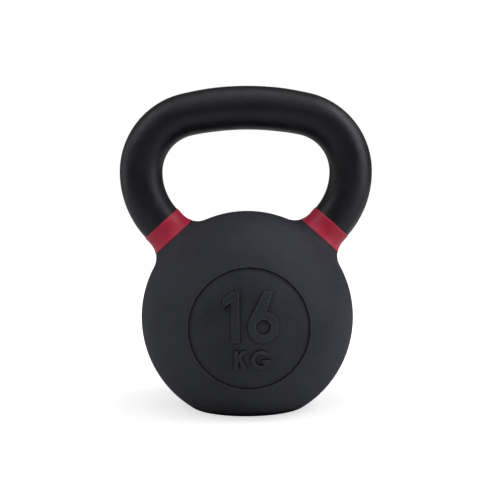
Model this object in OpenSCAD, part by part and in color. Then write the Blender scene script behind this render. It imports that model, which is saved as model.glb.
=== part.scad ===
// Kettlebell, 16 kg, cast iron. Origin on the floor at the middle of the foot, +Z up,
// the handle runs along X and the recessed disc faces -Y.

/* [Bell] */
// Diameter of the ball
ball_d = 155; // [129:0.5:186]
// Diameter across the flat foot, where the ball is cut off
foot_d = 82.8; // [69:0.1:99]
// Rounding of the foot's edge
foot_fillet = 2.5; // [1:0.5:5]

/* [Handle] */
// Overall width across the handle
handle_w = 184; // [153:0.5:221]
// Clear height between the top of the ball and the underside of the grip
window_h = 59.1; // [49:0.1:71]
// Diameter of the grip
grip_d = 31.6; // [26:0.1:38]
// Radius of the grip's slow arch, on its centreline
arch_r = 198; // [165:1:238]
// Radius of the two corners, on the centreline
corner_r = 43; // [36:0.5:50]
// Fillet where a horn meets the ball
root_fillet = 15; // [12:0.5:18]
// Straight stretch of each horn above its fillet
neck_len = 5.6; // [4:0.1:8]

/* [Colour bands] */
// How far down the fillet each band reaches, along the horn
band_drop = 8; // [5:0.5:10]
// Thickness of the band's coat
band_t = 0.25; // [0.2:0.05:0.5]

/* [Recessed disc] */
// Diameter of the disc on the front of the ball
disc_d = 82.8; // [69:0.1:95]
// Depth of the disc below the ball's surface
disc_depth = 1.2; // [0.8:0.1:2]
// Height of the large raised numerals
numeral_h = 34; // [28:1:38]
// Height of the small raised letters under them
unit_h = 13; // [10:1:15]

/* [Hidden] */
$fn = 96;

iron = [0.17, 0.17, 0.18];
enamel = [0.68, 0.1, 0.2];

ball_r = ball_d / 2;
grip_r = grip_d / 2;
// the bar is one even thickness on the real casting. Each stretch is a hair slimmer here than the
// one that its end is buried in, because solids whose round faces coincide don't join cleanly
neck_r = grip_r - 0.05;
side_r = grip_r - 0.2;
bend_r = grip_r - 0.3;
// each slimmer stretch runs this many degrees into its thicker neighbour
overrun = 1;

// the ball's centre stands this high when it rests on its foot
centre_z = sqrt(ball_r ^ 2 - (foot_d / 2) ^ 2);

// centre of the root fillet's circle, beside the horn's axis and along it from the ball's centre
root_x = neck_r + root_fillet;
root_s = sqrt((ball_r + root_fillet) ^ 2 - root_x ^ 2);
neck_s = root_s + neck_len;
// the ball's fillet is carried this far short of tangent, so that its edge is crisp
root_sink = 0.03;
seam_s = root_s - root_sink;

// centreline of the handle, measured from the ball's centre
half_w = handle_w / 2 - side_r;
top_z = ball_r + window_h + grip_r;
arch_z = top_z - arch_r;
arch_angle = asin((half_w - corner_r) / (arch_r - corner_r));
corner_x = half_w - corner_r;
corner_z = arch_z + (arch_r - corner_r) * cos(arch_angle);
// the side arc leaves the straight neck and is upright at the height of the corner's centre
side_arc_r = (half_w ^ 2 + corner_z ^ 2 - neck_s ^ 2) / (2 * half_w);
side_arc_x = half_w - side_arc_r;
horn_angle = atan2(side_arc_x, corner_z) + atan2(side_arc_r, neck_s);

disc_r = disc_d / 2;
numeral_w = numeral_h * 0.165;
unit_w = unit_h * 0.2;

// turns its children to stand along one horn's axis, from the ball's centre
module along_horn(side) {
    translate([0, 0, centre_z])
        rotate([0, side * horn_angle, 0])
            children();
}

// a bent stretch of round bar in the XZ plane, about (x, z) from the ball's centre
module bent_bar(x, z, bend, from, turn, bar_r) {
    translate([x, 0, centre_z + z])
        rotate([90, 0, 0])
            rotate([0, 0, from])
                rotate_extrude(angle = turn)
                    translate([bend, 0])
                        circle(bar_r);
}

// sits its children on the front of the ball, facing -Y, from deep inside it
module on_front() {
    translate([0, -ball_r * 0.4, centre_z])
        rotate([90, 0, 0])
            children();
}

module ball() {
    edge_x = sqrt((ball_r - foot_fillet) ^ 2 - (centre_z - foot_fillet) ^ 2);
    edge_y = foot_fillet - centre_z;
    join_x = edge_x * ball_r / (ball_r - foot_fillet);
    join_y = edge_y * ball_r / (ball_r - foot_fillet);
    join_angle = atan2(edge_y, edge_x);
    round_steps = 6;
    translate([0, 0, centre_z])
        rotate_extrude() {
            intersection() {
                circle(ball_r);
                translate([0, join_y])
                    square([ball_r + 1, 2 * ball_r]);
            }
            polygon(concat(
                [[0, join_y], [0, -centre_z]],
                [for (i = [0 : round_steps])
                    let (a = -90 + (join_angle + 90) * i / round_steps)
                    [edge_x + foot_fillet * cos(a), edge_y + foot_fillet * sin(a)]]
            ));
        }
}

// the flared root of a horn, between the ball and the seam
module root() {
    inside = ball_r / 2 / norm([root_x, root_s]);
    rotate_extrude()
        difference() {
            polygon([
                [0, root_s * inside],
                [root_x * inside, root_s * inside],
                [root_x, seam_s],
                [0, seam_s]
            ]);
            translate([root_x, root_s])
                circle(root_fillet);
        }
}

module numeral_one(h, w) {
    polygon([
        [-w / 2, 0],
        [w / 2, 0],
        [w / 2, h],
        [-w * 0.35, h],
        [-w * 1.45, h - w * 0.85],
        [-w * 1.45, h - w * 1.95],
        [-w / 2, h - w * 1.25]
    ]);
}

module numeral_six(h, w) {
    bowl_r = h * 0.31;
    lean = 28;
    rise = h - bowl_r * (1 + sin(lean));
    run = rise * tan(lean);
    difference() {
        union() {
            translate([0, bowl_r])
                circle(bowl_r);
            polygon([
                [-bowl_r * cos(lean) + 0.05, bowl_r * (1 + sin(lean))],
                [0, bowl_r],
                [w * 0.6, bowl_r * 1.6],
                [-bowl_r * cos(lean) + run + w * 1.15, h],
                [-bowl_r * cos(lean) + run + 0.05, h]
            ]);
        }
        translate([0, bowl_r])
            circle(bowl_r - w);
    }
}

module letter_k(h, w) {
    reach = h * 0.64;
    foot_y = h * 0.32;
    slope = (h - foot_y) / (reach - w * 0.5);
    near_x = w * 0.9;
    far_x = w * 1.8;
    translate([-reach / 2, 0]) {
        square([w, h]);
        polygon([
            [w * 0.5, foot_y],
            [reach, h],
            [reach - w * 1.3, h],
            [w * 0.5, foot_y + slope * w * 1.3]
        ]);
        polygon([
            [near_x, foot_y + slope * (near_x - w * 0.5) + 0.3],
            [reach - w * 1.25, 0],
            [reach + w * 0.1, 0],
            [far_x, foot_y + slope * (far_x - w * 0.5) + 0.3]
        ]);
    }
}

module letter_g(h, w) {
    bowl_r = h / 2;
    translate([0, bowl_r]) {
        difference() {
            circle(bowl_r);
            circle(bowl_r - w);
            polygon([[0, 0], [bowl_r * 2, 0], [bowl_r * 2, bowl_r * 1.4]]);
        }
        translate([bowl_r * 0.12, -w])
            square([bowl_r * 0.86, w]);
    }
}

// the weight, cast proud of the disc's floor
module weight_mark() {
    linear_extrude(ball_r) {
        translate([-numeral_h * 0.28, -numeral_h * 0.24])
            numeral_one(numeral_h, numeral_w);
        translate([numeral_h * 0.27, -numeral_h * 0.24])
            numeral_six(numeral_h, numeral_w);
        translate([-unit_h * 0.48, -numeral_h * 0.4 - unit_h])
            letter_k(unit_h, unit_w);
        translate([unit_h * 0.56, -numeral_h * 0.4 - unit_h])
            letter_g(unit_h, unit_w);
    }
}

// everything that the disc takes out of the ball: a skin of even depth, less the raised mark
module disc_recess() {
    difference() {
        on_front()
            cylinder(r = disc_r, h = ball_r);
        translate([0, 0, centre_z])
            sphere(ball_r - disc_depth);
        on_front()
            weight_mark();
    }
}

module bell() {
    color(iron)
        difference() {
            union() {
                ball();
                for (side = [-1, 1])
                    along_horn(side)
                        root();
            }
            disc_recess();
        }
}

module half_handle() {
    along_horn(1)
        translate([0, 0, seam_s])
            cylinder(r = neck_r, h = neck_s - seam_s + 0.5);
    bent_bar(side_arc_x, corner_z, side_arc_r, -horn_angle - overrun, horn_angle + overrun, side_r);
    bent_bar(corner_x, corner_z, corner_r, -overrun, 90 - arch_angle + 2 * overrun, bend_r);
}

module handle() {
    color(iron) {
        half_handle();
        mirror([1, 0, 0])
            half_handle();
        bent_bar(0, arch_z, arch_r, 90 - arch_angle, 2 * arch_angle, grip_r);
    }
}

// a point on the root fillet, t degrees down from its top, grown outward by the coat
function fillet_point(t, coat) = [
    root_x - (root_fillet - coat) * cos(t),
    root_s - (root_fillet - coat) * sin(t)
];

module band(side) {
    low_t = asin(band_drop / root_fillet);
    steps = 8;
    color(enamel)
        along_horn(side)
            rotate_extrude()
                polygon(concat(
                    [[neck_r + band_t, neck_s], [neck_r, neck_s]],
                    [for (i = [0 : steps]) fillet_point(low_t * i / steps, 0)],
                    [for (i = [steps : -1 : 0]) fillet_point(low_t * i / steps, band_t)]
                ));
}

bell();
handle();
band(-1);  // left_band
band(1);  // right_band
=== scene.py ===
# %% [markdown]
# # A cast iron kettlebell
#
# The real thing is one solid lump of grey iron: a ball cut flat underneath, with a round bar that
# leaves it by two horns and closes in a slow arch over the top. It is baked in a black powder
# coat. A ring of red round the foot of each horn, taken here to be sprayed enamel, marks the weight.
# The lesson models it the way a maker would turn and cast it: the ball first, then the horns'
# fillets, the handle, the enamel, the raised weight on the front, and last the finishes.

import math

import bmesh
import bpy
from mathutils import Euler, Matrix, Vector


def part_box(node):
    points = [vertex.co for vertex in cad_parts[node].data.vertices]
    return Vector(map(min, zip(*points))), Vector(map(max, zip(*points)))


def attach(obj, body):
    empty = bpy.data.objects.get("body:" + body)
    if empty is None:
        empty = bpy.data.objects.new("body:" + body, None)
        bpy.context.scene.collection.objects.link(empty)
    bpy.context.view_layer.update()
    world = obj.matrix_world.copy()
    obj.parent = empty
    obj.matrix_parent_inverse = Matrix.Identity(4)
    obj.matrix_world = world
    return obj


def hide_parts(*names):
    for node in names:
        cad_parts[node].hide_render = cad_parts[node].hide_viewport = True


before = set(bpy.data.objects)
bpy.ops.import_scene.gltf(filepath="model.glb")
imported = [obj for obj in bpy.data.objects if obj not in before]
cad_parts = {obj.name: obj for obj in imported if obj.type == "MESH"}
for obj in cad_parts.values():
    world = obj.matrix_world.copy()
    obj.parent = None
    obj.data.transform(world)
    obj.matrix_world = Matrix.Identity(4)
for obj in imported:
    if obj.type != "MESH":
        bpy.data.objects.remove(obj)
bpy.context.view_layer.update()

# %% [markdown]
# ## The sizes that everything shares
#
# The frame already holds the iron's outline, so the sizes are read from it where it shows them:
# the ball from the bell's width, the bar from the handle's depth. A box can't show the bends,
# fillets and depths inside that outline, so they repeat the values of the part's own source.

# %% Read the ball and the bar from the frame
bell_low, bell_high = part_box("bell")
handle_low, handle_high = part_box("handle")

ball_r = round(bell_high[0] - bell_low[0], 4) / 2
ball_z = bell_high[2] - ball_r
grip_r = round(handle_high[1] - handle_low[1], 4) / 2
ball_centre = Vector((0, 0, ball_z))
print(f"ball {ball_r * 2000:.1f} mm, centre {ball_z * 1000:.2f} mm up, bar {grip_r * 2000:.1f} mm")

# %% The sizes that a box can't show, in metres
mm = 0.001
foot_round = 2.5 * mm
neck_r = grip_r - 0.05 * mm
side_r = grip_r - 0.2 * mm
bend_r = grip_r - 0.3 * mm
arch_bend = 198 * mm
corner_bend = 43 * mm
root_fillet = 15 * mm
neck_length = 5.6 * mm
band_drop = 8 * mm
band_coat = 0.25 * mm
disc_r = 41.4 * mm
disc_depth = 1.2 * mm
print(f"root fillet {root_fillet / mm:.0f} mm")
print(f"disc {disc_r / mm * 2:.1f} mm wide and {disc_depth / mm:.1f} mm deep")

# %% Work out where the horns leave the ball
root_x = neck_r + root_fillet
root_s = math.sqrt((ball_r + root_fillet) ** 2 - root_x ** 2)
neck_s = root_s + neck_length
half_w = handle_high[0] - side_r
top_z = handle_high[2] - ball_z - grip_r
arch_z = top_z - arch_bend
arch_angle = math.asin((half_w - corner_bend) / (arch_bend - corner_bend))
corner_x = half_w - corner_bend
corner_z = arch_z + (arch_bend - corner_bend) * math.cos(arch_angle)
side_bend = (half_w ** 2 + corner_z ** 2 - neck_s ** 2) / (2 * half_w)
side_x = half_w - side_bend
horn_lean = math.atan2(side_x, corner_z) + math.atan2(side_bend, neck_s)
horn_axis = Vector((math.sin(horn_lean), 0, math.cos(horn_lean)))
print(f"horns lean {math.degrees(horn_lean):.2f} degrees, side bend {side_bend * 1000:.1f} mm")

# %% [markdown]
# ## A few tools for the bench
#
# Every piece is shaped in edit mode, where an operator works on whatever is selected. These small
# helpers pick points by where they are, never by number, and set a rim of points to a turned
# radius, as a lathe would. They keep the later cells short.

# %% Pick up and put down pieces
weld = 0.02 * mm
cut_grip = 0.0005 * mm


def put_down():
    if bpy.context.object and bpy.context.object.mode != "OBJECT":
        bpy.ops.object.mode_set(mode="OBJECT")
    bpy.ops.object.select_all(action="DESELECT")


def pick_up(piece):
    put_down()
    piece.select_set(True)
    bpy.context.view_layer.objects.active = piece


def name_new(name):
    piece = bpy.context.object
    piece.name = name
    piece.data.name = name
    bpy.ops.object.transform_apply(location=True, rotation=True, scale=True)
    return piece


def apply_all(piece):
    pick_up(piece)
    for modifier in list(piece.modifiers):
        bpy.ops.object.modifier_apply(modifier=modifier.name)


# %% Select the open rim that passes a test
def select_rim(piece, test):
    mesh = bmesh.from_edit_mesh(piece.data)
    for part in (*mesh.verts, *mesh.edges, *mesh.faces):
        part.select = False
    rim = [edge for edge in mesh.edges
           if edge.is_boundary and all(test(end.co) for end in edge.verts)]
    for edge in rim:
        edge.select_set(True)
    bmesh.update_edit_mesh(piece.data)
    return len(rim)


# %% Turn the selected rim true about an axis
def true_rim(piece, centre, axis, radius, along):
    """Sets every selected point to this radius from the axis and this height along it."""
    mesh = bmesh.from_edit_mesh(piece.data)
    for point in (v for v in mesh.verts if v.select):
        away = point.co - centre
        away -= axis * away.dot(axis)
        point.co = centre + axis * along + away.normalized() * radius
    bmesh.update_edit_mesh(piece.data)


# %% Cut by a plane, and turn a rim through a profile
def cut(place, facing, keep):
    """Cuts everything by a plane and throws away the side that the plane faces, or the other."""
    bpy.ops.mesh.select_all(action="SELECT")
    bpy.ops.mesh.bisect(plane_co=place, plane_no=facing, threshold=cut_grip,
                        clear_outer=keep == "behind", clear_inner=keep == "ahead")


def turn_profile(piece, centre, axis, profile):
    """Extrudes the selected rim through each (radius, height along the axis) in turn."""
    for radius, along in profile:
        bpy.ops.mesh.extrude_edges_move()
        true_rim(piece, centre, axis, radius, along)


def arc(centre_r, centre_h, bend, start, stop, steps):
    """Points on a circle in the (radius, height) plane, after its first, in degrees."""
    angles = [math.radians(start + (stop - start) * i / steps) for i in range(1, steps + 1)]
    return [(centre_r + bend * math.cos(a), centre_h + bend * math.sin(a)) for a in angles]


# %% Finish a closed shell
def finish_shell(piece, smooth_angle=40):
    """Merges doubles, points every face outwards and shades the piece smooth."""
    pick_up(piece)
    bpy.ops.object.mode_set(mode="EDIT")
    bpy.ops.mesh.select_all(action="SELECT")
    bpy.ops.mesh.remove_doubles(threshold=weld)
    bpy.ops.mesh.normals_make_consistent(inside=False)
    put_down()
    pick_up(piece)
    bpy.ops.object.shade_smooth_by_angle(angle=math.radians(smooth_angle))
    put_down()
    print(f"{piece.name}: {len(piece.data.polygons)} faces")


# %% [markdown]
# ## The bell
#
# On the real casting the ball runs into each horn through a generous fillet, so that the iron
# feeds the handle and no sharp corner chills. A ball and a tube joined by a boolean would leave a
# ragged seam there. Instead the ball is a UV sphere leaned over so that its pole lies on the
# right horn: its rings are then already concentric with the horn, and the fillet is simply a few
# more rings, extruded one by one. Only one half is made, and a mirror makes the other.

# %% Lean a sphere along the right horn
ball_segments = 144
fillet_rings = 14
foot_rings = 6
put_down()
bpy.ops.mesh.primitive_uv_sphere_add(
    segments=ball_segments, ring_count=ball_segments // 2, radius=ball_r,
    location=ball_centre, rotation=(0, horn_lean, 0))
bell = name_new("bell_casting")

# %% Cut the cap off where the fillet starts
contact = math.atan2(root_x, root_s)
bpy.ops.object.mode_set(mode="EDIT")
cut(ball_centre + horn_axis * ball_r * math.cos(contact), horn_axis, keep="behind")
rim_edges = select_rim(bell, lambda p: True)
true_rim(bell, ball_centre, horn_axis, ball_r * math.sin(contact), ball_r * math.cos(contact))
print("fillet starts on", rim_edges, "edges")

# %% Turn the fillet up to the seam and close it
turn_profile(bell, ball_centre, horn_axis,
             arc(root_x, root_s, root_fillet, 270 - math.degrees(contact), 180, fillet_rings))
bpy.ops.mesh.edge_face_add()

# %% Keep the right half and mirror it
cut((0, 0, 0), (1, 0, 0), keep="ahead")
put_down()
mirror = bell.modifiers.new("other_half", "MIRROR")
mirror.use_axis = (True, False, False)
mirror.use_clip = True
mirror.merge_threshold = weld
apply_all(bell)
print("bell halves joined:", len(bell.data.polygons), "faces")

# %% [markdown]
# The foot is where the ball is cut off flat, so that it stands. The cut is a bisect, and its
# rounded edge is six more turned rings before the flat is closed. The ball is first cut a little
# above the foot, where the rounding leaves it without a step.

# %% Cut the foot flat and round its edge
flat_inset = 1 * mm
edge_x = math.sqrt((ball_r - foot_round) ** 2 - (ball_z - foot_round) ** 2)
edge_y = foot_round - ball_z
join = ball_r / (ball_r - foot_round)
up = Vector((0, 0, 1))
pick_up(bell)
bpy.ops.object.mode_set(mode="EDIT")
cut((0, 0, ball_z + edge_y * join), up, keep="ahead")
select_rim(bell, lambda p: p.z < ball_z)
true_rim(bell, ball_centre, up, edge_x * join, edge_y * join)
turn_profile(bell, ball_centre, up,
             arc(edge_x, edge_y, foot_round, math.degrees(math.atan2(edge_y, edge_x)), -90,
                 foot_rings))
turn_profile(bell, ball_centre, up, [(edge_x - flat_inset, -ball_z)])
bpy.ops.mesh.edge_face_add()
print(f"foot {edge_x * 2000:.1f} mm across its flat")

# %% [markdown]
# The front of the ball carries a round recess, which a casting gets from its pattern. Its floor
# follows the ball at an even depth, and its wall has the soft shoulders of cast and coated iron.
# A boolean would leave it a sharp rim, so it is turned like the rest, about an axis that points
# forwards. Each step of its section is a share of the shoulder or fillet, and a small height.

# %% Open the front of the ball
front = Vector((0, -1, 0))
shoulder = 1.0 * mm
inner_fillet = 1.0 * mm


def on_ball(radius, depth):
    return math.sqrt((ball_r - depth) ** 2 - radius ** 2)


open_r = disc_r + shoulder
cut(ball_centre + front * on_ball(open_r, 0), front, keep="behind")
select_rim(bell, lambda p: p.y < 0)
true_rim(bell, ball_centre, front, open_r, on_ball(open_r, 0))

# %% The recess's section: shoulder, wall, inner fillet
shoulder_steps = ((0.62, 0.05 * mm), (0.32, 0.16 * mm))
wall_lean = 0.1 * mm
wall_ease = 0.05 * mm
wall_top = on_ball(disc_r, 0) - shoulder * 0.55
wall_foot = on_ball(disc_r, disc_depth) + inner_fillet * 0.2
recess = [(disc_r + shoulder * share, on_ball(disc_r + shoulder * share, 0) - drop)
          for share, drop in shoulder_steps]
recess += [(disc_r + wall_lean, wall_top + wall_ease),
           (disc_r, wall_top - 0.08 * mm),
           (disc_r - wall_lean, wall_foot + wall_ease)]
recess += [(disc_r - inner_fillet * share, on_ball(disc_r - inner_fillet * share, disc_depth) + rise)
           for share, rise in ((0.35, 0.07 * mm), (1, 0))]
turn_profile(bell, ball_centre, front, recess)
print("recess turned in", len(recess), "steps")

# %% Turn the recess's floor and close it
floor_rings = 18
for step in range(1, floor_rings):
    ring_r = (disc_r - inner_fillet) * (1 - step / floor_rings)
    turn_profile(bell, ball_centre, front, [(ring_r, on_ball(ring_r, disc_depth))])
bpy.ops.mesh.extrude_edges_move()
bpy.ops.mesh.merge(type="CENTER")
put_down()
finish_shell(bell)
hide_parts("bell")
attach(bell, "root")

# %% [markdown]
# ## The handle
#
# The bar is cast with the ball, so it has no seam, but it isn't one even bend: a short straight
# neck, a wide bend up the side, a tighter corner, then a very slow arch over the hand. Each bend
# is one use of Spin about its own centre, starting from a circle that stands on the horn. A
# bevelled curve would do too. Spin was chosen because each bend is then an arc about its own
# centre, as it is in the frame.

# %% Stand a circle on the neck and spin it round the bends
bar_points = 96
neck_rings = 3
put_down()
bpy.ops.mesh.primitive_circle_add(
    vertices=bar_points, radius=neck_r, fill_type="NOTHING",
    location=ball_centre + horn_axis * root_s, rotation=(0, horn_lean, 0))
handle = name_new("handle_casting")
bpy.ops.object.mode_set(mode="EDIT")
bpy.ops.mesh.select_all(action="SELECT")
for _ in range(neck_rings):
    bpy.ops.mesh.extrude_edges_move(
        TRANSFORM_OT_translate={"value": horn_axis * neck_length / neck_rings})
print("neck:", len(bmesh.from_edit_mesh(handle.data).verts), "points")


# %% Bend the side, the corner and half the arch
def bend_bar(centre_x, centre_z, angle, steps):
    """Spins the selected rim of the bar towards the middle of the grip."""
    bpy.ops.mesh.spin(
        steps=steps, angle=angle, axis=(0, 1, 0), dupli=False, use_auto_merge=False,
        center=(centre_x, 0, ball_z + centre_z))


def leading_end():
    mesh = bmesh.from_edit_mesh(handle.data)
    chosen = [v.co for v in mesh.verts if v.select]
    return sum(chosen, Vector()) / len(chosen)


for centre_x, centre_z, angle, steps in (
        (side_x, corner_z, horn_lean, 14),
        (corner_x, corner_z, math.pi / 2 - arch_angle, 30),
        (0, arch_z, arch_angle, 16)):
    bend_bar(centre_x, centre_z, angle, steps)
    print("bar now reaches", [round(c * 1000, 1) for c in leading_end()])

# %% Close the seam end and mirror the other half
select_rim(handle, lambda p: (p - ball_centre).dot(horn_axis) < root_s + 0.01 * mm and p.x > 0)
bpy.ops.mesh.edge_face_add()
put_down()
mirror = handle.modifiers.new("other_half", "MIRROR")
mirror.use_axis = (True, False, False)
mirror.use_clip = True
mirror.merge_threshold = 0.05 * mm
apply_all(handle)
print("handle halves joined:", len(handle.data.polygons), "faces")

# %% [markdown]
# The real bar is taken to be one even thickness. The frame builds it from overlapping stretches,
# each a hair slimmer than the one it ends in, so that they join cleanly. Every ring is therefore
# moved to the frame's thickness at its place, with an easing between stretches, and the finished
# bar stays inside the frame.


# %% Ease from one stretch to the next
def ease(t):
    t = min(max(t, 0.0), 1.0)
    return t * t * (3 - 2 * t)


# %% Follow the frame's thickness along the bar
full_share = 0.45


def bar_station(p):
    """(centre of the bar, its true radius) at a point of the handle, with z from the ball."""
    x, z = abs(p.x), p.z - ball_z
    turned = math.atan2(x, z - arch_z)
    if z > corner_z and turned < arch_angle:
        centre = Vector((math.sin(turned), 0, math.cos(turned))) * arch_bend
        share = ease((turned / arch_angle - full_share) / (1 - full_share))
        return Vector((centre.x, 0, centre.z + arch_z)), grip_r + (bend_r - grip_r) * share
    if z > corner_z:
        away = Vector((x - corner_x, 0, z - corner_z)).normalized() * corner_bend
        return Vector((corner_x + away.x, 0, corner_z + away.z)), bend_r
    away = Vector((x - side_x, 0, z - corner_z))
    down = math.atan2(-away.z, away.x)
    if down < horn_lean:
        away = away.normalized() * side_bend
        radius = bend_r + (side_r - bend_r) * ease(down / horn_lean)
        return Vector((side_x + away.x, 0, corner_z + away.z)), radius
    along = Vector((x, 0, z)).dot(horn_axis)
    radius = side_r + (neck_r - side_r) * ease((neck_s - along) / neck_length * 2)
    return horn_axis * along, radius


for point in handle.data.vertices:
    side = 1 if point.co.x >= 0 else -1
    centre, radius = bar_station(point.co)
    centre = Vector((centre.x * side, 0, centre.z + ball_z))
    away = point.co - centre
    point.co = centre + away.normalized() * radius
finish_shell(handle)
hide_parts("handle")
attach(handle, "root")

# %% [markdown]
# ## The enamel bands
#
# The colour ring is taken to be enamel, sprayed on after the black coat between two strips of tape,
# over the top of the fillet and the straight neck. It is given a quarter of a millimetre, and the
# slightly rounded edge that tape leaves. Paint could be a mask in the iron's material, but a real
# skin catches the light at its edge. One is turned on the right horn, from a circle at its upper
# edge, down the neck and the fillet and back up its own inside, so that it is a closed sleeve.

# %% The section of a band
tape_edge = 0.12 * mm
edge_coat = band_coat * 0.6
into_iron = 0.05 * mm
band_rings = 10
neck_steps = 4
face_stop = 0.5  # degrees short of the lower tape line, as the next one is
edge_start = 0.1
inner_start = 0.2  # degrees past it


def band_profile():
    """(radius, height) all the way round the sleeve's section, outer side first."""
    tape_line = 180 + math.degrees(math.asin(band_drop / root_fillet))
    face_top = neck_s - tape_edge
    outer = [(neck_r + band_coat, face_top)]
    outer += [(neck_r + band_coat, root_s + (face_top - root_s) * i / neck_steps)
              for i in reversed(range(neck_steps))]
    outer += arc(root_x, root_s, root_fillet - band_coat, 180, tape_line - face_stop, band_rings)
    outer += arc(root_x, root_s, root_fillet - edge_coat, tape_line - edge_start, tape_line, 1)
    inner = arc(root_x, root_s, root_fillet + into_iron, tape_line + inner_start, 180, band_rings)
    inner += [(neck_r - into_iron, neck_s)]
    return outer + inner + [(neck_r + edge_coat, neck_s)]


section = band_profile()
print("a band's section has", len(section), "points")

# %% Turn one band and close it
band_smooth = 50
put_down()
bpy.ops.mesh.primitive_circle_add(
    vertices=bar_points, radius=section[0][0], fill_type="NOTHING",
    location=ball_centre + horn_axis * section[0][1], rotation=(0, horn_lean, 0))
right_band = name_new("right_enamel_band")
bpy.ops.object.mode_set(mode="EDIT")
bpy.ops.mesh.select_all(action="SELECT")
turn_profile(right_band, ball_centre, horn_axis, section[1:])
bpy.ops.mesh.select_all(action="DESELECT")
select_rim(right_band, lambda p: True)
bpy.ops.mesh.bridge_edge_loops()
finish_shell(right_band, band_smooth)

# %% Copy it to the other horn
pick_up(right_band)
bpy.ops.object.duplicate()
bpy.ops.transform.mirror(constraint_axis=(True, False, False), center_override=(0, 0, 0))
left_band = name_new("left_enamel_band")
finish_shell(left_band, band_smooth)
for band, node in ((right_band, "right_band"), (left_band, "left_band")):
    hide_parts(node)
    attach(band, "root")

# %% [markdown]
# ## The weight, raised on the front
#
# Foundries cast the weight into the front so that it can't wear off. Here it is a plain number
# over its unit. Each figure is a flat closed outline, which Blender fills, thickens and rounds at
# once, the way a pattern maker glues a cut letter to the mould board. Made a mesh and sliced into
# small squares, it can then be pressed on to the curve of the ball, where a flat letter would
# stand off at its ends.

# %% Sizes of the figures, and points on an arc
figure_h = 34 * mm
figure_w = figure_h * 0.165
unit_h = 13 * mm
unit_w = unit_h * 0.2


def arc_points(x, y, bend, start, stop, steps):
    """Points on an arc, its first included, in degrees."""
    angles = [math.radians(start + (stop - start) * i / steps) for i in range(steps + 1)]
    return [(x + bend * math.cos(a), y + bend * math.sin(a)) for a in angles]


print(f"numerals {figure_h / mm:.0f} mm high with a {figure_w / mm:.1f} mm stroke")


# %% Outlines of the number, each from its height and its stroke
def one(h, w):
    """A stem with a slanting flag."""
    flag_x = -w * 1.45
    flag_top = h - w * 0.85
    flag_foot = h - w * 1.95
    return [[(-w / 2, 0), (w / 2, 0), (w / 2, h), (-w * 0.35, h), (flag_x, flag_top),
             (flag_x, flag_foot), (-w / 2, h - w * 1.25)]]


def six(h, w):
    """A round bowl with a straight tail that leaves it at a tangent."""
    bowl = h * 0.31
    lean = 28
    tail_w = w * 1.15
    bowl_end = 360 + 78  # where the tail's right side leaves the ring
    top_y = bowl * (1 + math.sin(math.radians(lean)))
    left_x = -bowl * math.cos(math.radians(lean))
    run = (h - top_y) * math.tan(math.radians(lean))
    outer = arc_points(0, bowl, bowl, 180 - lean, bowl_end, 40)
    outer += [(left_x + run + tail_w, h), (left_x + run, h)]
    hole_steps = 35
    hole_end = 350  # one step short, because the outline closes itself
    return [outer, arc_points(0, bowl, bowl - w, 0, hole_end, hole_steps)]


# %% Outlines of the unit
def letter_k(h, w):
    """An upright, an arm that rises from it, and a leg that leaves the arm."""
    reach = h * 0.64
    foot_y = h * 0.32
    notch = reach * 0.56
    nick = 0.1 * mm
    arm_w = w * 1.3
    leg_w = w * 1.25
    fork_x = w * 1.15
    slope = (h - foot_y) / (reach - w * 0.5)
    left = -reach / 2

    def arm(x, up):
        return foot_y + slope * (x - w * 0.5) + up

    return [[(left, 0), (left + w, 0), (left + w, arm(w, 0)), (left + fork_x, arm(fork_x, 0)),
             (left + reach - leg_w, 0), (left + reach + w * 0.1, 0),
             (left + notch, arm(notch, 0) - nick), (left + reach, h),
             (left + reach - arm_w, h), (left + w, arm(w, slope * arm_w)), (left + w, h),
             (left, h)]]


def letter_g(h, w):
    """An open ring with a short bar into its middle."""
    bowl = h / 2
    inner = bowl - w
    mouth = 40
    bar_x = bowl * 0.12
    bar_end = math.degrees(math.asin(w / inner))
    ring = arc_points(0, bowl, bowl, mouth, 360, 30) + [(bar_x, bowl), (bar_x, bowl - w)]
    ring += arc_points(0, bowl, inner, 360 - bar_end, mouth, 28)
    return [ring]


# %% Fill, thicken and round each outline, and slice it into squares
cast_round = 0.4 * mm
round_steps = 3
sunk = 0.6 * mm
slice_width = 1.5 * mm
outline_weld = 0.005 * mm


def cut_through(place, facing):
    """Cuts everything by a plane and keeps both sides."""
    bpy.ops.mesh.select_all(action="SELECT")
    bpy.ops.mesh.bisect(plane_co=place, plane_no=facing, threshold=cut_grip)


def raise_figure(name, loops, x, y):
    """A closed figure, flat on the ball's middle plane, whose thickness runs along Y."""
    put_down()
    drawing = bpy.data.curves.new(name, "CURVE")
    drawing.dimensions = "2D"
    drawing.fill_mode = "BOTH"
    for loop in loops:
        line = drawing.splines.new("POLY")
        line.points.add(len(loop) - 1)
        for point, (px, py) in zip(line.points, loop):
            point.co = (px, py, 0, 1)
        line.use_cyclic_u = True
    drawing.extrude = (disc_depth + sunk) / 2 - cast_round
    drawing.bevel_depth = cast_round
    drawing.bevel_resolution = round_steps
    drawing.offset = -cast_round
    figure = bpy.data.objects.new(name, drawing)
    bpy.context.collection.objects.link(figure)
    figure.rotation_euler = (math.pi / 2, 0, 0)
    figure.location = (x, 0, ball_z + y)
    pick_up(figure)
    bpy.ops.object.convert(target="MESH")
    figure = name_new(name)
    bpy.ops.object.mode_set(mode="EDIT")
    bpy.ops.mesh.select_all(action="SELECT")
    bpy.ops.mesh.remove_doubles(threshold=outline_weld)
    slices = int(figure_h / slice_width)
    for i in range(-slices, slices + 1):
        cut_through((i * slice_width, 0, 0), (1, 0, 0))
        cut_through((0, 0, ball_z + i * slice_width), (0, 0, 1))
    put_down()
    return figure


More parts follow.
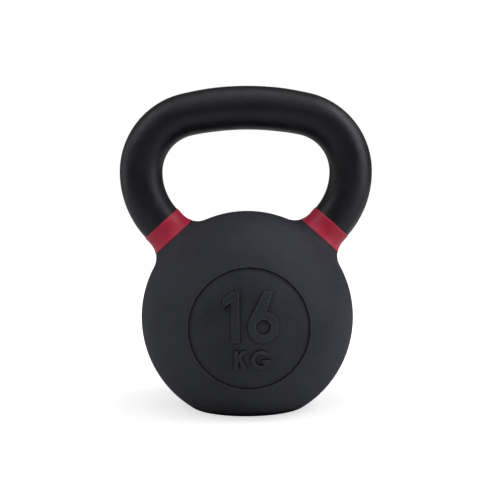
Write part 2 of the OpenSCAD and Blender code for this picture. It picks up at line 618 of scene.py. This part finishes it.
# %% Press a flat figure on to the ball
def press_on_ball(figure):
    """Bends a flat figure to the ball, flush with it outside and sunk below the disc's floor."""
    half = (disc_depth + sunk) / 2
    for point in figure.data.vertices:
        reach = ball_r - half - point.co.y
        flat = point.co.x ** 2 + (point.co.z - ball_z) ** 2
        point.co.y = -math.sqrt(reach ** 2 - flat)


# %% Raise the four figures, each at its place from the ball's middle
number_foot = -figure_h * 0.24
unit_foot = -figure_h * 0.4 - unit_h
figures = []
for name, loops, x, y in (
        ("figure_one", one(figure_h, figure_w), -figure_h * 0.28, number_foot),
        ("figure_six", six(figure_h, figure_w), figure_h * 0.27, number_foot),
        ("letter_k", letter_k(unit_h, unit_w), -unit_h * 0.48, unit_foot),
        ("letter_g", letter_g(unit_h, unit_w), unit_h * 0.56, unit_foot)):
    figure = raise_figure(name, loops, x, y)
    press_on_ball(figure)
    finish_shell(figure)
    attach(figure, "root")
    figures.append(figure)

# %% [markdown]
# ## The finishes
#
# Powder coat is sprayed dry and melted in an oven. It never levels like paint: it keeps a fine
# grain of about a millimetre, over the casting's own slow unevenness, and it takes a little
# lighter in one place than in the next. Raised edges are made a little paler in colour, and the
# corners of the relief look darker. Part of that is light that can't get in, which the renderer
# works out by itself. The corner mask adds more as painted shade in the base colour, by choice, to
# make a shallow relief read. Every finish here needs some of these, so each is made once as a
# node group, and each coat mixes its own share.


# %% Node helpers
def new_group(name, inputs, outputs):
    group = bpy.data.node_groups.new(name, "ShaderNodeTree")
    for socket, kind, value in inputs:
        made = group.interface.new_socket(socket, in_out="INPUT", socket_type=kind)
        if value is not None:
            made.default_value = value
    for socket in outputs:
        group.interface.new_socket(socket, in_out="OUTPUT", socket_type="NodeSocketFloat")
    return group, group.nodes.new("NodeGroupInput"), group.nodes.new("NodeGroupOutput")


def add(tree, kind, sockets=(), **settings):
    """Adds a node, with values or links for its named sockets."""
    node = tree.nodes.new(kind)
    for key, value in settings.items():
        setattr(node, key, value)
    for key, value in dict(sockets).items():
        if isinstance(value, bpy.types.NodeSocket):
            tree.links.new(value, node.inputs[key])
        else:
            node.inputs[key].default_value = value
    return node


def maths(tree, operation, first, second, clamp=False):
    return add(tree, "ShaderNodeMath", {0: first, 1: second},
               operation=operation, use_clamp=clamp).outputs[0]


def spread(tree, value, low, high):
    """Stretches the middle of a noise, from low to high, over 0 to 1."""
    return add(tree, "ShaderNodeMapRange",
               {"Value": value, "From Min": low, "From Max": high}).outputs["Result"]


# %% Grain of the coat: pimples of about a millimetre and finer, and the flecks that go with them
grain, g_in, g_out = new_group(
    "coat_grain",
    (("Position", "NodeSocketVector", None), ("Grain per metre", "NodeSocketFloat", 900.0)),
    ("Height", "Fleck"))
pimples = add(grain, "ShaderNodeTexNoise", {
    "Vector": g_in.outputs["Position"], "Scale": g_in.outputs["Grain per metre"],
    "Detail": 3, "Roughness": 0.65})
grain.links.new(pimples.outputs["Fac"], g_out.inputs["Height"])
grain.links.new(spread(grain, pimples.outputs["Fac"], 0.3, 0.7), g_out.inputs["Fleck"])
print(grain.name, "puts out Height and Fleck")

# %% Unevenness of the casting: slow waves, and patches where the coat took lighter
cast, c_in, c_out = new_group(
    "casting_unevenness",
    (("Position", "NodeSocketVector", None), ("Waves per metre", "NodeSocketFloat", 45.0),
     ("Patches per metre", "NodeSocketFloat", 26.0)),
    ("Height", "Patch"))
waves = add(cast, "ShaderNodeTexNoise", {
    "Vector": c_in.outputs["Position"], "Scale": c_in.outputs["Waves per metre"], "Detail": 2})
patches = add(cast, "ShaderNodeTexNoise", {
    "Vector": c_in.outputs["Position"], "Scale": c_in.outputs["Patches per metre"],
    "Detail": 5, "Roughness": 0.55})
cast.links.new(waves.outputs["Fac"], c_out.inputs["Height"])
cast.links.new(spread(cast, patches.outputs["Fac"], 0.34, 0.66), c_out.inputs["Patch"])
print(cast.name, "puts out Height and Patch")

# %% Painted shade for corners, and raised edges to make paler
probe_rays = 8
mask_gain = 2.0
relief, r_in, r_out = new_group(
    "corners_and_edges",
    (("Corner reach", "NodeSocketFloat", 0.004), ("Edge reach", "NodeSocketFloat", 0.0012)),
    ("Corner", "Edge"))
# The Corner mask is painted shade: it darkens the base colour where the probe finds the surface
# closed in. The Edge mask marks raised edges, which are made paler in colour.
for reach, inward, output in (("Corner reach", False, "Corner"), ("Edge reach", True, "Edge")):
    light_in = add(relief, "ShaderNodeAmbientOcclusion", {"Distance": r_in.outputs[reach]},
                   samples=probe_rays, inside=inward, only_local=inward)
    closed_share = maths(relief, "SUBTRACT", 1.0, light_in.outputs["AO"])
    mask = maths(relief, "MULTIPLY", closed_share, mask_gain, clamp=True)
    relief.links.new(mask, r_out.inputs[output])
print(relief.name, "puts out Corner and Edge")

# %% [markdown]
# A coat is one recipe. Its tone runs from a dark to a light colour with the patches and flecks,
# falls towards black in the corners, which is painted shade, and rises to a paler colour on the
# edges. The patches also change how glossy it is, and two bumps, slow and fine, break up its
# reflections. The gloss level is the same all over, so it is set on the shader itself.


# %% Blend two colours by a mask
def blend(tree, share, first, second):
    mix = tree.nodes.new("ShaderNodeMix")
    mix.data_type = "RGBA"
    ends = {"Factor": share, "A": first, "B": second}
    for socket in mix.inputs:
        if socket.enabled and socket.name in ends:
            value = ends[socket.name]
            if isinstance(value, bpy.types.NodeSocket):
                tree.links.new(value, socket)
            else:
                socket.default_value = value
    return next(out for out in mix.outputs if out.enabled)


# %% Mix a coat
patch_weight = 0.6
fleck_weight = 0.4
# Painted shade: the colour of a closed corner falls to a quarter of the dark tone.
painted_shade_depth = 4  # a corner falls to a quarter of the dark tone
pale_edge_gain = 2.5


def coat(name, dark, light, pale_edge_colour, rough, gloss_level, grain_depth, wave_depth, corner_shade_and_pale_edge):
    material = bpy.data.materials.new(name)
    material.use_nodes = True
    tree = material.node_tree
    surface = tree.nodes["Principled BSDF"]
    surface.inputs["Specular IOR Level"].default_value = gloss_level
    place = add(tree, "ShaderNodeTexCoord").outputs["Object"]
    fine = add(tree, "ShaderNodeGroup", node_tree=grain)
    slow = add(tree, "ShaderNodeGroup", node_tree=cast)
    shape = add(tree, "ShaderNodeGroup", node_tree=relief)
    for node in (fine, slow):
        tree.links.new(place, node.inputs["Position"])

    patch_share = maths(tree, "MULTIPLY", slow.outputs["Patch"], patch_weight)
    fleck_share = maths(tree, "MULTIPLY", fine.outputs["Fleck"], fleck_weight)
    tone = blend(tree, maths(tree, "ADD", patch_share, fleck_share), (*dark, 1), (*light, 1))
    # Painted shade: the tone falls towards black where the Corner mask finds a corner.
    painted_corner_shade = maths(tree, "MULTIPLY", shape.outputs["Corner"], corner_shade_and_pale_edge)
    tone = blend(tree, painted_corner_shade, tone, (*(channel / painted_shade_depth for channel in dark), 1))
    # Raised edges turn paler, towards the edge colour, where the Edge mask finds them among the
    # flecks.
    pale_edge_share = maths(tree, "MULTIPLY", shape.outputs["Edge"], fleck_share)
    pale_edge_share = maths(tree, "MULTIPLY", pale_edge_share, pale_edge_gain * corner_shade_and_pale_edge, clamp=True)
    tone = blend(tree, pale_edge_share, tone, (*pale_edge_colour, 1))
    tree.links.new(tone, surface.inputs["Base Color"])

    dull = add(tree, "ShaderNodeMapRange", {
        "Value": slow.outputs["Patch"], "To Min": rough[0], "To Max": rough[1]})
    tree.links.new(dull.outputs["Result"], surface.inputs["Roughness"])

    swell = add(tree, "ShaderNodeBump", {"Distance": wave_depth, "Height": slow.outputs["Height"]})
    pimpled = add(tree, "ShaderNodeBump", {
        "Distance": grain_depth, "Height": fine.outputs["Height"],
        "Normal": swell.outputs["Normal"]})
    tree.links.new(pimpled.outputs["Normal"], surface.inputs["Normal"])
    print("mixed", name, "with", len(tree.nodes), "nodes")
    return material


# %% Dress a piece in a coat
def dress(piece, material):
    piece.data.materials.clear()
    piece.data.materials.append(material)


# %% [markdown]
# Three coats are mixed from the recipe: a dry black for the bell and its figures, a closer, darker
# and glossier black for the bar, and a satin red with hardly any grain for the bands.

# %% Mix the three coats
bell_coat = coat(
    "black_powder_coat", dark=(0.024, 0.0252, 0.0315), light=(0.05, 0.0515, 0.061),
    pale_edge_colour=(0.09, 0.092, 0.1), rough=(0.52, 0.7), gloss_level=0.15,
    grain_depth=0.25 * mm, wave_depth=0.6 * mm, corner_shade_and_pale_edge=1.0)
grip_coat = coat(
    "black_grip_coat", dark=(0.001, 0.0011, 0.0022), light=(0.005, 0.005, 0.0082),
    pale_edge_colour=(0.03, 0.03, 0.034), rough=(0.33, 0.46), gloss_level=0.42,
    grain_depth=0.16 * mm, wave_depth=1.1 * mm, corner_shade_and_pale_edge=0.3)
enamel_coat = coat(
    "red_enamel", dark=(0.46, 0.011, 0.04), light=(0.62, 0.021, 0.065),
    pale_edge_colour=(0.62, 0.05, 0.09), rough=(0.34, 0.46), gloss_level=0.42,
    grain_depth=0.1 * mm, wave_depth=0.4 * mm, corner_shade_and_pale_edge=0.0)

# %% Dress the pieces
for piece in (bell, *figures):
    dress(piece, bell_coat)
dress(handle, grip_coat)
for band in (left_band, right_band):
    dress(band, enamel_coat)
print("dressed", [piece.name for piece in (bell, *figures, handle, left_band, right_band)])

# %% [markdown]
# ## The camera
#
# The iron is seen from its front and a little above, by a fairly long lens. The camera is aimed
# straight at the ball and then nodded up, which brings the ball and handle together to the middle
# of the view. Moving the lens's shift would do that too, but it would stay in every other view.

# %% Camera
view_distance = 0.8
view_up = math.radians(7.5)
view_round = math.radians(-1.1)
camera_data = bpy.data.cameras.new("camera")
camera_data.lens = 78.1
camera_data.sensor_width = 36
camera = bpy.data.objects.new("camera", camera_data)
bpy.context.collection.objects.link(camera)
camera.location = ball_centre + view_distance * Vector((
    math.sin(view_round) * math.cos(view_up),
    -math.cos(view_round) * math.cos(view_up),
    math.sin(view_up)))
straight_at_ball = (ball_centre - camera.location).to_track_quat("-Z", "Y")
nod_up = math.radians(3.49)
turn_left = math.radians(-0.14)
roll = math.radians(-0.5)
camera.rotation_mode = "QUATERNION"
camera.rotation_quaternion = straight_at_ball @ Euler((nod_up, turn_left, roll)).to_quaternion()
bpy.context.scene.camera = camera
print("camera at", [round(c, 3) for c in camera.location])

# %% [markdown]
# ## The table
#
# A white table lit only by the panels would turn grey far off. It is real white paper for the iron,
# which it lights from below and which shades it, and it also has a glow that only the camera sees.
# The glow grows away from the foot, so the contact shadow stays and the far edge is lost in white.

# %% The table top
table_size = 8
put_down()
bpy.ops.mesh.primitive_plane_add(size=table_size)
table = name_new("table_top")
print("table", table_size, "m wide")

# %% White paper, with a glow for the camera
paper_tone = 0.8
glow_reach = (0.09, 0.35)
glow_strength = (0.64, 1.0)
paper = bpy.data.materials.new("white_paper")
paper.use_nodes = True
sheet = paper.node_tree.nodes["Principled BSDF"]
sheet.inputs["Base Color"].default_value = (paper_tone, paper_tone, paper_tone, 1)
sheet.inputs["Roughness"].default_value = 1
sheet.inputs["Specular IOR Level"].default_value = 0
sheet.inputs["Emission Color"].default_value = (1, 1, 1, 1)
paper_tree = paper.node_tree
paper_rays = add(paper_tree, "ShaderNodeLightPath")
paper_place = add(paper_tree, "ShaderNodeTexCoord")
from_iron = add(paper_tree, "ShaderNodeVectorMath", {0: paper_place.outputs["Object"]},
                operation="LENGTH")
sweep = add(paper_tree, "ShaderNodeMapRange", {
    "Value": from_iron.outputs["Value"],
    "From Min": glow_reach[0], "From Max": glow_reach[1],
    "To Min": glow_strength[0], "To Max": glow_strength[1]})
paper_tree.links.new(
    maths(paper_tree, "MULTIPLY", paper_rays.outputs["Is Camera Ray"], sweep.outputs["Result"]),
    sheet.inputs["Emission Strength"])
dress(table, paper)

# %% [markdown]
# ## The room and the light
#
# Gloss on a black coat is mostly a picture of what stands round it, so the places of the lights
# matter more than their number. Six square soft boxes stand above and to both sides, slightly
# cool, which tints the blacks a little towards blue. The room itself is dim to the iron and white
# to the camera.

# %% Room: white to the camera, dim to the iron
world = bpy.data.worlds.new("studio")
world.use_nodes = True
room = world.node_tree
room_light = room.nodes["Background"]
room_fill = 0.13
rays = add(room, "ShaderNodeLightPath")
to_camera = maths(room, "MULTIPLY", rays.outputs["Is Camera Ray"], 1 - room_fill)
room.links.new(maths(room, "ADD", to_camera, room_fill), room_light.inputs["Strength"])
room_light.inputs["Color"].default_value = (1, 1, 1, 1)
bpy.context.scene.world = world
bpy.context.scene.view_settings.view_transform = "Standard"
print("room gives the iron", room_fill)


# %% A soft panel
panel_size = 0.8
panel_reach = 1.3
panel_aim = Vector((0, 0, 0.11))
panel_tint = (0.95, 0.96, 1.0)


def panel(name, around, up, power):
    """A square soft box, its bearing in degrees from the front, to the right, and up."""
    around, up = math.radians(around), math.radians(up)
    out = Vector((math.sin(around) * math.cos(up), -math.cos(around) * math.cos(up), math.sin(up)))
    light = bpy.data.lights.new(name, "AREA")
    light.shape = "SQUARE"
    light.size = panel_size
    light.energy = power
    light.color = panel_tint
    lamp = bpy.data.objects.new(name, light)
    bpy.context.collection.objects.link(lamp)
    lamp.location = panel_aim + out * panel_reach
    lamp.rotation_euler = (-out).to_track_quat("-Z", "Y").to_euler()
    print(name, power, "W")


# %% Place the panels: bearing, height in degrees, watts
panel("panel_above_camera", 0, 45, 1.3)
panel("panel_above", 0, 82, 3.2)
panel("panel_left_back", -100, 12, 1.8)
panel("panel_left_high", -75, 45, 3.6)
panel("panel_right_high", 85, 45, 6.2)
panel("panel_right", 75, 12, 4.0)
